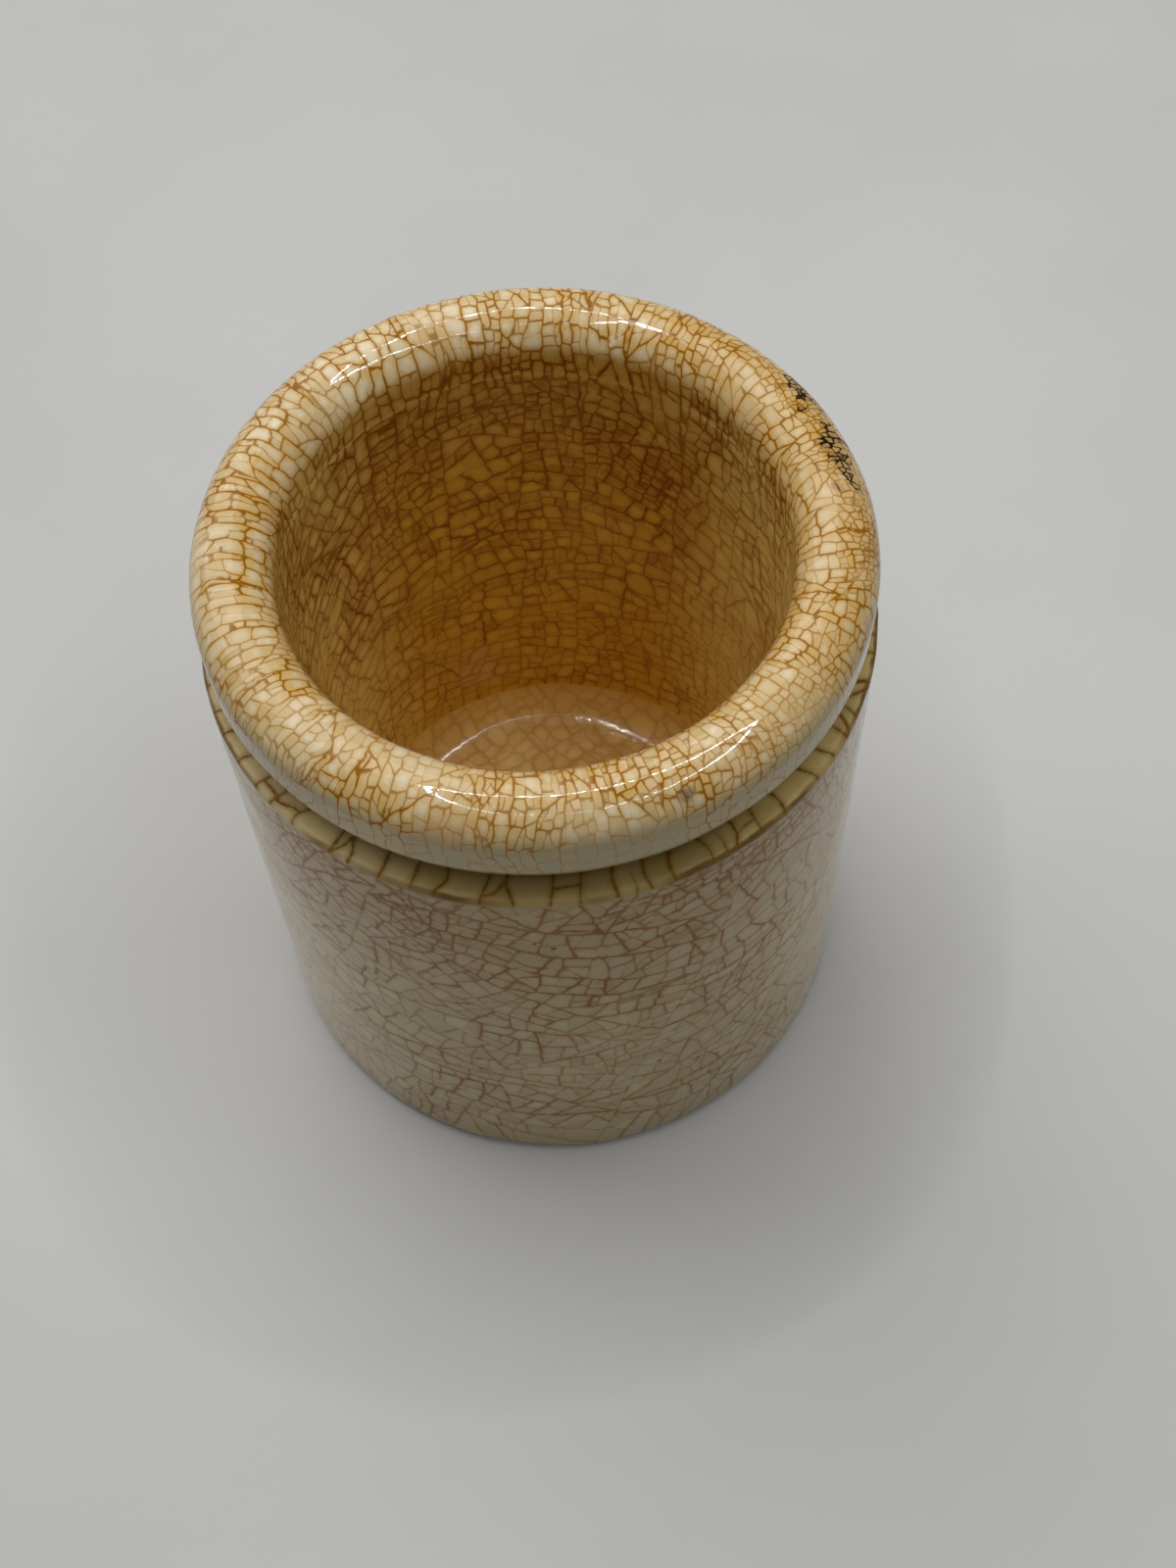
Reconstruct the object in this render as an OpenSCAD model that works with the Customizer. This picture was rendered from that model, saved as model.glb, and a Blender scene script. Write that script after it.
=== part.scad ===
// Straight-sided stoneware pot with a thick rolled rim and a tie-down groove.
// The clay body is one turned piece. The glaze lies on it as a thin glass coat,
// drawn in five zones that break where the real coat changes thickness:
// over the rolled rim, in the groove and round the ledge's edge, down the outer
// wall, down the inner wall and across the inside bottom. The foot is bare clay.

/* [Rim] */
// Outside diameter of the rolled rim
rim_d = 76; // [60:1:100]
// Radius of the roll's upper and lower rounds
roll_r = 4.65; // [4:0.05:5.4]
// Straight height between the two rounds of the roll
roll_flat = 2.8; // [1:0.1:4]

/* [Body] */
// Overall height
height = 87; // [65:1:120]
// How much wider the body is than the rim, on the diameter
body_step = 1.4; // [0:0.2:4]
// Gap between the roll's lowest line and the body's ledge
groove_gap = 1.8; // [1.2:0.1:2.4]
// Rounding of the body's top edge
shoulder_r = 0.8; // [0.6:0.1:1.2]
// Rounding at the foot
foot_r = 2.7; // [1.6:0.1:4]
// Thickness of the bottom, glaze included
floor_t = 7.5; // [5:0.5:10]
// Rounding between the inside bottom and the inner wall
floor_fillet = 5; // [3:0.5:8]

/* [Glaze] */
// Thickness of the glaze coat
glaze_t = 0.5; // [0.3:0.05:0.55]
// Height of the bare clay left at the foot
bare_foot = 0.9; // [0.4:0.1:1.2]

/* [Hidden] */
$fn = 160;
body_r = (rim_d + body_step) / 2;
mouth_r = rim_d / 2 - 2 * roll_r;
// centre circle of the roll, and the heights of its two rounds
roll_cr = rim_d / 2 - roll_r;
z_up = height - roll_r;
z_lo = z_up - roll_flat;
z_ledge = z_lo - roll_r - groove_gap;
// cove in the groove: touches the ledge and the roll's lower round
cove_r = groove_gap / 2 + 0.2;
cove_dx = sqrt((2 * roll_r + groove_gap) * (2 * cove_r - groove_gap));
cove_c = [roll_cr + cove_dx, z_ledge + cove_r];
roll_lo = [roll_cr, z_lo];
roll_up = [roll_cr, z_up];
// direction from the roll's lower centre to the cove's centre
to_cove = (cove_c - roll_lo) / norm(cove_c - roll_lo);
shoulder_c = [body_r - shoulder_r, z_ledge - shoulder_r];
fillet_c = [mouth_r - floor_fillet, floor_t + floor_fillet];

// A rectangle between two corners
module box2(a, b) {
    translate(a) square(b - a);
}

// Cross-section of the roll, drawn in by g
module roll_section(g) {
    r = roll_r - g;
    translate(roll_up) circle(r);
    translate(roll_lo) circle(r);
    box2([roll_cr - r, z_lo], [roll_cr + r, z_up]);
}

// The part of the section plane that belongs to the rim
module rim_zone() {
    polygon([roll_lo, roll_lo + 14 * to_cove, [rim_d, z_ledge], [rim_d, height + 5], [0, height + 5], [0, z_lo]]);
}

// Top of the body outside the cove, with its rounded edge, drawn in by g
module ledge_section(g) {
    intersection() {
        union() {
            box2([cove_c.x, shoulder_c.y - 1], [shoulder_c.x, z_ledge - g]);
            translate(shoulder_c) circle(shoulder_r - g);
        }
        box2([cove_c.x, shoulder_c.y], [body_r + 1, z_ledge + 1]);
    }
}

// Hollow inside the pot, grown by g, up to the start of the roll
module hollow_section(g) {
    box2([-1, floor_t - g], [fillet_c.x, z_lo + 1]);
    box2([-1, fillet_c.y], [mouth_r + g, z_lo + 1]);
    translate(fillet_c) circle(floor_fillet + g);
}

// Clay below the rim: wall, bottom, foot rounding and the neck behind the groove
module lower_clay_section() {
    g = glaze_t;
    difference() {
        union() {
            box2([0, 0], [body_r - g - foot_r, z_ledge - g]);
            box2([0, foot_r], [body_r - g, shoulder_c.y]);
            box2([0, foot_r], [shoulder_c.x, z_ledge - g]);
            translate([body_r - g - foot_r, foot_r]) circle(foot_r);
            translate(shoulder_c) circle(shoulder_r - g);
            difference() {
                polygon([roll_lo, [0, z_lo], [0, z_ledge - 3], [cove_c.x, z_ledge - 3], cove_c]);
                translate(cove_c) circle(cove_r + g);
            }
        }
        hollow_section(g);
    }
}

module stoneware_body() {
    color([0.78, 0.68, 0.54])
        rotate_extrude() {
            lower_clay_section();
            intersection() {
                roll_section(glaze_t);
                rim_zone();
            }
        }
}

module rim_glaze() {
    color([0.90, 0.81, 0.60])
        rotate_extrude()
            intersection() {
                difference() {
                    roll_section(0);
                    roll_section(glaze_t);
                }
                rim_zone();
            }
}

module groove_glaze() {
    color([0.66, 0.54, 0.30])
        rotate_extrude() {
            // cove under the roll
            intersection() {
                difference() {
                    translate(cove_c) circle(cove_r + glaze_t);
                    translate(cove_c) circle(cove_r);
                }
                polygon([cove_c, cove_c - 5 * to_cove, [cove_c.x - 8, cove_c.y], [cove_c.x - 8, cove_c.y - 8], [cove_c.x, cove_c.y - 8]]);
            }
            // ledge and its rounded edge
            difference() {
                ledge_section(0);
                ledge_section(glaze_t);
            }
        }
}

module outer_wall_glaze() {
    g = glaze_t;
    color([0.83, 0.80, 0.71])
        rotate_extrude() {
            // straight wall
            box2([body_r - g, foot_r], [body_r, shoulder_c.y]);
            // rounding down to the bare foot
            intersection() {
                difference() {
                    translate([body_r - foot_r, foot_r]) circle(foot_r);
                    translate([body_r - g - foot_r, foot_r]) circle(foot_r);
                }
                box2([body_r - foot_r, bare_foot], [body_r + 1, foot_r]);
            }
        }
}

module inner_wall_glaze() {
    color([0.56, 0.40, 0.19])
        rotate_extrude()
            box2([mouth_r, fillet_c.y], [mouth_r + glaze_t, z_lo]);
}

module floor_glaze() {
    color([0.63, 0.46, 0.27])
        rotate_extrude() {
            box2([0, floor_t - glaze_t], [fillet_c.x, floor_t]);
            intersection() {
                difference() {
                    translate(fillet_c) circle(floor_fillet + glaze_t);
                    translate(fillet_c) circle(floor_fillet);
                }
                box2(fillet_c - [0, 20], fillet_c + [20, 0]);
            }
        }
}

stoneware_body();
rim_glaze();
groove_glaze();
outer_wall_glaze();
inner_wall_glaze();
floor_glaze();
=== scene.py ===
import math
import random

import bpy
import numpy as np
from mathutils import Matrix, Vector
from mathutils.geometry import delaunay_2d_cdt


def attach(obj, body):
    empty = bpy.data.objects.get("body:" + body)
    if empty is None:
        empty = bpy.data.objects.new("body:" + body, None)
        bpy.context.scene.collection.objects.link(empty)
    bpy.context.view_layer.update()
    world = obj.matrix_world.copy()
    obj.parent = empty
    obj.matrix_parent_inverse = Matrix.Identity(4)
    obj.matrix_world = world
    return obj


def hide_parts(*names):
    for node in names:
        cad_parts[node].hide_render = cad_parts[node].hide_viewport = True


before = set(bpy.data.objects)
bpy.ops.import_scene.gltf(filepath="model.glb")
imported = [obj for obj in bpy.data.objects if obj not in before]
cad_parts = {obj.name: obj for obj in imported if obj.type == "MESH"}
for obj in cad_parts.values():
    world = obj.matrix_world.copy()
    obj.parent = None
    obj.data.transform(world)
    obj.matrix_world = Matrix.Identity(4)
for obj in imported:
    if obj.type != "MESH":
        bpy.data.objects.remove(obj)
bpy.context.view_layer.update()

TAU = 2 * math.pi
MM = 0.001

# ---------------------------------------------------------------------------
# Outline of the pot in millimetres, walked from the foot up the outside, over
# the rim and down the inside. The seen side is on the right of the walk.
# ---------------------------------------------------------------------------
BODY_R, FOOT_R, BARE_FOOT = 38.7, 2.7, 0.9
SHOULDER_R, LEDGE_Z = 0.8, 73.1
ROLL_R, ROLL_AT, ROLL_LOW, ROLL_HIGH = 4.65, 33.35, 79.55, 82.35
COVE_R, COVE_AT, COVE_Z = 1.1, 35.457, 74.2
TANGENT = 68.5
MOUTH_R, FLOOR_Z, FILLET = 28.7, 7.5, 5.0
COAT = 0.5


class Outline:
    """A chain of lines and arcs in (radius, height), walked by length."""

    def __init__(self):
        self.legs, self.length = [], 0.0

    def line(self, r0, z0, r1, z1):
        n = math.hypot(r1 - r0, z1 - z0)
        self.legs.append((self.length, n, "line", (r0, z0, (r1 - r0) / n, (z1 - z0) / n)))
        self.length += n
        return self

    def arc(self, r, z, radius, a0, a1):
        a0, a1 = math.radians(a0), math.radians(a1)
        n = abs(a1 - a0) * radius
        self.legs.append((self.length, n, "arc", (r, z, radius, a0, 1.0 if a1 > a0 else -1.0)))
        self.length += n
        return self

    def at(self, v):
        """Radius, height and walking direction at each length v."""
        v = np.asarray(v, float)
        r, z, tr, tz = (np.zeros_like(v) for _ in range(4))
        for k, (start, n, kind, d) in enumerate(self.legs):
            here = v >= start - 1e-9 if k else np.ones(v.shape, bool)
            t = v - start
            if kind == "line":
                vals = (d[0] + d[2] * t, d[1] + d[3] * t, d[2] + 0 * t, d[3] + 0 * t)
            else:
                a = d[3] + d[4] * t / d[2]
                vals = (d[0] + d[2] * np.cos(a), d[1] + d[2] * np.sin(a), -np.sin(a) * d[4], np.cos(a) * d[4])
            for out, val in zip((r, z, tr, tz), vals):
                out[here] = val[here]
        return r, z, tr, tz


foot_a = -math.degrees(math.asin((FOOT_R - BARE_FOOT) / FOOT_R))
OUTER = (Outline()
         .arc(BODY_R - FOOT_R, FOOT_R, FOOT_R, foot_a, 0)
         .line(BODY_R, FOOT_R, BODY_R, LEDGE_Z - SHOULDER_R))
GROOVE = (Outline()
          .arc(BODY_R - SHOULDER_R, LEDGE_Z - SHOULDER_R, SHOULDER_R, 0, 90)
          .line(BODY_R - SHOULDER_R, LEDGE_Z, COVE_AT, LEDGE_Z)
          .arc(COVE_AT, COVE_Z, COVE_R, 270, 180 - TANGENT))
RIM = (Outline()
       .arc(ROLL_AT, ROLL_LOW, ROLL_R, -TANGENT, 0)
       .line(ROLL_AT + ROLL_R, ROLL_LOW, ROLL_AT + ROLL_R, ROLL_HIGH)
       .arc(ROLL_AT, ROLL_HIGH, ROLL_R, 0, 180)
       .line(MOUTH_R, ROLL_HIGH, MOUTH_R, ROLL_LOW))
RIM_END = RIM.length
RIM.line(MOUTH_R, ROLL_LOW, MOUTH_R, FLOOR_Z + FILLET)
CROWN = ROLL_R * math.radians(TANGENT) + (ROLL_HIGH - ROLL_LOW) + ROLL_R * math.pi / 2


def smooth(a, b, x):
    """0 below a, 1 above b."""
    t = np.clip((np.asarray(x, float) - a) / (b - a), 0, 1)
    return t * t * (3 - 2 * t)


def near(theta, centre, width):
    """1 round an angle in degrees, falling to 0 past its width."""
    d = np.abs((np.asarray(theta, float) - centre + 180) % 360 - 180)
    return 1 - smooth(width * 0.55, width, d)


# ---------------------------------------------------------------------------
# Crazing: a sheet is split again and again by cracks that stop at older ones.
# ---------------------------------------------------------------------------
class Crackle:
    """Cells and cracks on a sheet. period is the length after which u closes on itself."""

    def __init__(self, seed, period=1e9):
        self.rng, self.period = random.Random(seed), period
        self.P, self.cells, self.owner, self.mark = [], [], {}, {}

    @staticmethod
    def key(a, b):
        return (a, b) if a < b else (b, a)

    def set_mark(self, a, b, at_a, at_b):
        self.mark[self.key(a, b)] = (at_a, at_b) if a < b else (at_b, at_a)

    def add(self, u, v):
        self.P.append((u % self.period if self.period < 1e8 else u, v))
        return len(self.P) - 1

    def delta(self, d):
        if self.period < 1e8:
            d = (d + self.period / 2) % self.period - self.period / 2
        return d

    def loop(self, ids, at=None):
        if at is None:
            at = len(self.cells)
            self.cells.append(ids)
        else:
            self.cells[at] = ids
        for i, a in enumerate(ids):
            self.owner[(a, ids[(i + 1) % len(ids)])] = at
        return at

    def band(self, height, columns, lean=0.0, loose=0.5, strength=0.9):
        r, step = self.rng, self.period / columns
        lo, hi = [], []
        for k in range(columns):
            u = (k + loose * (r.random() - 0.5)) * step
            lo.append(self.add(u, 0.0))
            hi.append(self.add(u + lean + 0.6 * loose * step * (r.random() - 0.5), height))
        for k in range(columns):
            n = (k + 1) % columns
            self.loop([lo[k], lo[n], hi[n], hi[k]])
            self.set_mark(lo[k], lo[n], 0, 0)
            self.set_mark(hi[k], hi[n], 0, 0)
            s = strength * (0.75 + 0.25 * r.random())
            self.set_mark(lo[k], hi[k], s, s)
        return self

    def disc(self, radius, sides):
        ids = [self.add(radius * math.cos(TAU * k / sides), radius * math.sin(TAU * k / sides)) for k in range(sides)]
        self.loop(ids)
        for k in range(sides):
            self.set_mark(ids[k], ids[(k + 1) % sides], 0, 0)
        return self

    def outline(self, ids):
        u0 = self.P[ids[0]][0]
        return [(u0 + self.delta(self.P[i][0] - u0), self.P[i][1]) for i in ids]

    def insert(self, a, b, t):
        """A new point on edge a-b, in both cells that share it."""
        (ua, va), (ub, vb) = self.P[a], self.P[b]
        w = self.add(ua + self.delta(ub - ua) * t, va + (vb - va) * t)
        sa, sb = self.mark.pop(self.key(a, b))
        if a > b:
            sa, sb = sb, sa
        sw = sa + (sb - sa) * t
        self.set_mark(a, w, sa, sw)
        self.set_mark(w, b, sw, sb)
        for x, y in ((a, b), (b, a)):
            c = self.owner.pop((x, y), None)
            if c is None:
                continue
            ids = self.cells[c]
            ids.insert(ids.index(x) + 1, w)
            self.owner[(x, w)] = c
            self.owner[(w, y)] = c
        return w

    def cut(self, c, px, py, nx, ny, marks, gap):
        ids = self.cells[c]
        q = self.outline(ids)
        s = [(x - px) * nx + (y - py) * ny for x, y in q]
        s = [d if abs(d) > 1e-9 else 1e-9 for d in s]
        n = len(ids)
        cross = [i for i in range(n) if s[i] * s[(i + 1) % n] < 0]
        if len(cross) != 2:
            return None
        ends = []
        for i in cross:
            j = (i + 1) % n
            length = math.hypot(q[j][0] - q[i][0], q[j][1] - q[i][1])
            room = min(0.5, gap / max(length, 1e-9))
            ends.append((ids[i], ids[j], min(max(s[i] / (s[i] - s[j]), room), 1 - room)))
        w = [self.insert(*e) for e in ends]
        ids = self.cells[c]
        i, j = ids.index(w[0]), ids.index(w[1])
        if i > j:
            i, j = j, i
        one, two = ids[i:j + 1], ids[j:] + ids[:i + 1]
        self.loop(one, c)
        d = self.loop(two)
        self.set_mark(w[0], w[1], *marks)
        return d

    def shatter(self, target, gap=0.2, spread=0.3, turn=5.0, faint=0.12, ends=0.08, level=(0.82, 0.12), young=0.62):
        """Splits every cell across its longer way until it is down to its target. The target gives the area, the
        width over the height, the slant and how wild the cracks are: 0 keeps them to two directions. The last
        cracks have only the young share of the first ones' strength."""
        r, goal, todo = self.rng, {}, list(range(len(self.cells)))
        while todo:
            c = todo.pop()
            q = self.outline(self.cells[c])
            n = len(q)
            A = mx = my = 0.0
            for i in range(n):
                x0, y0 = q[i]
                x1, y1 = q[(i + 1) % n]
                k = x0 * y1 - x1 * y0
                A += k
                mx += (x0 + x1) * k
                my += (y0 + y1) * k
            A *= 0.5
            if A < 1e-6:
                continue
            mx /= 6 * A
            my /= 6 * A
            want, aspect, tilt, wild = target(mx, my, A)
            g = goal.get(c)
            if g is None:
                g = goal[c] = math.exp(r.gauss(0, spread))
            if A < want * g * 1.35:
                continue
            ct, st, ka = math.cos(tilt), math.sin(tilt), math.sqrt(aspect)
            e = [(((x - mx) * ct + (y - my) * st) / ka, (-(x - mx) * st + (y - my) * ct) * ka) for x, y in q]
            sxx = sxy = syy = 0.0
            for i in range(n):
                x0, y0 = e[i]
                x1, y1 = e[(i + 1) % n]
                l = math.hypot(x1 - x0, y1 - y0)
                xm, ym = (x0 + x1) / 2, (y0 + y1) / 2
                sxx += l * xm * xm
                sxy += l * xm * ym
                syy += l * ym * ym
            ang = 0.5 * math.atan2(2 * sxy, sxx - syy)
            root = math.sqrt(max((sxx + syy) ** 2 / 4 - (sxx * syy - sxy * sxy), 0))
            if (sxx + syy) / 2 + root < 1.25 * ((sxx + syy) / 2 - root) and r.random() < 0.5:
                ang += math.pi / 2
            free = wild if A < want * g * 3.0 else wild * 0.5
            if r.random() < 0.97 - 0.6 * free:
                ang = round(ang / (math.pi / 2)) * math.pi / 2
            ang += math.radians(r.gauss(0, turn * (1 + 1.8 * free)))
            lx, ly = math.cos(ang), math.sin(ang)
            reach = [x * lx + y * ly for x, y in e]
            off = (max(reach) - min(reach)) * max(-0.2, min(0.2, r.gauss(0, 0.09)))
            nx, ny = lx / ka, ly * ka
            nx, ny = nx * ct - ny * st, nx * st + ny * ct
            ox, oy = lx * off * ka, ly * off / ka
            px, py = mx + ox * ct - oy * st, my + ox * st + oy * ct
            m = math.hypot(nx, ny)
            last = young(mx, my) if callable(young) else young
            s = min(1.0, max(0.3, r.gauss(*level))) * (last + (1 - last) * float(smooth(1.3, 7.0, A / (want * g))))
            pair = [s, s]
            if A < want * g * 3.2:
                if r.random() < faint:
                    k = r.uniform(0.22, 0.55)
                    pair = [s * k, s * k]
                elif r.random() < ends:
                    pair[r.random() < 0.5] = -0.35
            d = self.cut(c, px, py, nx / m, ny / m, pair, gap)
            if d is None:
                continue
            goal.pop(c, None)
            todo += [c, d]
        return self

    def fade(self, share):
        """Makes the cracks stronger or fainter from place to place."""
        for (a, b), (sa, sb) in list(self.mark.items()):
            ka, kb = share(*self.P[a]), share(*self.P[b])
            self.mark[(a, b)] = (sa * ka if sa > 0 else sa, sb * kb if sb > 0 else sb)
        return self

    def relax(self, amount, fixed):
        """Junctions drift towards the middle of their neighbours, so corners open up."""
        links = {}
        for a, b in self.mark:
            links.setdefault(a, []).append(b)
            links.setdefault(b, []).append(a)
        moved = list(self.P)
        for i, js in links.items():
            u, v = self.P[i]
            if fixed(u, v):
                continue
            k = amount(u, v) / len(js)
            moved[i] = (u + sum(self.delta(self.P[j][0] - u) for j in js) * k, v + sum(self.P[j][1] - v for j in js) * k)
        self.P = [(u % self.period if self.period < 1e8 else u, v) for u, v in moved]
        return self

    def level(self, v0, gap=0.15):
        """Cuts the sheet along v = v0 without making a crack there."""
        self.P = [(u, v if abs(v - v0) > gap else v0 + math.copysign(gap, v - v0)) for u, v in self.P]
        todo = list(range(len(self.cells)))
        while todo:
            c = todo.pop()
            ids = list(self.cells[c])
            for a, b in zip(ids, ids[1:] + ids[:1]):
                da, db = self.P[a][1] - v0, self.P[b][1] - v0
                if da * db < -1e-9:
                    w = self.insert(a, b, da / (da - db))
                    self.P[w] = (self.P[w][0], v0)
            ids = self.cells[c]
            side = [self.P[i][1] - v0 for i in ids]
            if min(side) > -1e-6 or max(side) < 1e-6:
                continue
            q = self.outline(ids)
            on = sorted((q[i][0], i) for i in range(len(ids)) if abs(side[i]) < 1e-6)
            i, j = sorted((on[0][1], on[1][1]))
            one, two = ids[i:j + 1], ids[j:] + ids[:i + 1]
            self.set_mark(ids[i], ids[j], 0, 0)
            self.loop(one, c)
            todo += [c, self.loop(two)]
        return self


def waves(seed, longest, shortest, amp, period=None, count=26):
    """A smooth field of waves, closing on itself after period in u."""
    r, rows = random.Random(seed), []
    for _ in range(count):
        lam = math.exp(r.uniform(math.log(shortest), math.log(longest)))
        a = r.uniform(0, TAU)
        ku = TAU / lam * math.cos(a)
        if period:
            ku = TAU / period * round(ku * period / TAU)
        rows.append((ku, TAU / lam * math.sin(a), r.uniform(0, TAU), amp * lam / longest * math.sqrt(2.0 / count)))
    W = np.array(rows)

    def field(u, v):
        u, v = np.asarray(u, float)[..., None], np.asarray(v, float)[..., None]
        return (np.sin(u * W[:, 0] + v * W[:, 1] + W[:, 2]) * W[:, 3]).sum(-1)

    return field


# ---------------------------------------------------------------------------
# From cells to a closed coat of glaze.
# ---------------------------------------------------------------------------
class Coat:
    """Collects points, faces and their values for one piece."""

    def __init__(self, name):
        self.name = name
        self.u, self.v, self.lift = [], [], []
        self.dist, self.stain, self.tone, self.tilt = [], [], [], []
        self.faces, self.uv = [], []
        self.front = 0

    def point(self, u, v, lift, dist, stain, tone, tilt=(0.0, 0.0)):
        self.u.append(u)
        self.v.append(v)
        self.lift.append(lift)
        self.dist.append(dist)
        self.stain.append(stain)
        self.tone.append(tone)
        self.tilt.append(tilt)
        return len(self.u) - 1


def middle(q, k, mx, my, A):
    """A point that every side of the cell faces, and its distance from each side."""
    sides = []
    for (x0, y0), (x1, y1) in zip(q, q[1:] + q[:1]):
        ex, ey = (x1 - x0) * k, y1 - y0
        n = max(math.hypot(ex, ey), 1e-9)
        sides.append((-ey / n, ex / n, -ey / n * x0 * k + ex / n * y0))
    x, y = mx * k, my
    away = [a * x + b * y - c for a, b, c in sides]
    best, step = (min(away), x, y, away), 0.3 * math.sqrt(A * k)
    if best[0] < 0.04 * math.sqrt(A * k):
        for _ in range(160):
            i = away.index(min(away))
            x, y = x + sides[i][0] * step, y + sides[i][1] * step
            away = [a * x + b * y - c for a, b, c in sides]
            best = max(best, (min(away), x, y, away))
            step *= 0.96
    return best[1] / k, best[2], best[3]


def inside(X, spot):
    x, y = spot
    odd = False
    for (x0, y0), (x1, y1) in zip(X, X[1:] + X[:1]):
        if (y0 > y) != (y1 > y) and x < x0 + (y - y0) * (x1 - x0) / (y1 - y0):
            odd = not odd
    return odd


def nearest(X, stain, spot):
    """Distance from a cell's nearest side, the stain there and the way out across it."""
    best = (1e9, 0.0, 0.0, 0.0)
    for i, (x0, y0) in enumerate(X):
        j = (i + 1) % len(X)
        ex, ey = X[j][0] - x0, X[j][1] - y0
        n = ex * ex + ey * ey
        t = min(1.0, max(0.0, ((spot[0] - x0) * ex + (spot[1] - y0) * ey) / max(n, 1e-12)))
        d = math.hypot(spot[0] - x0 - t * ex, spot[1] - y0 - t * ey)
        if d < best[0]:
            n = math.sqrt(max(n, 1e-12))
            best = (d, stain[i] + t * (stain[j] - stain[i]), ey / n, -ex / n)
    return best


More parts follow.
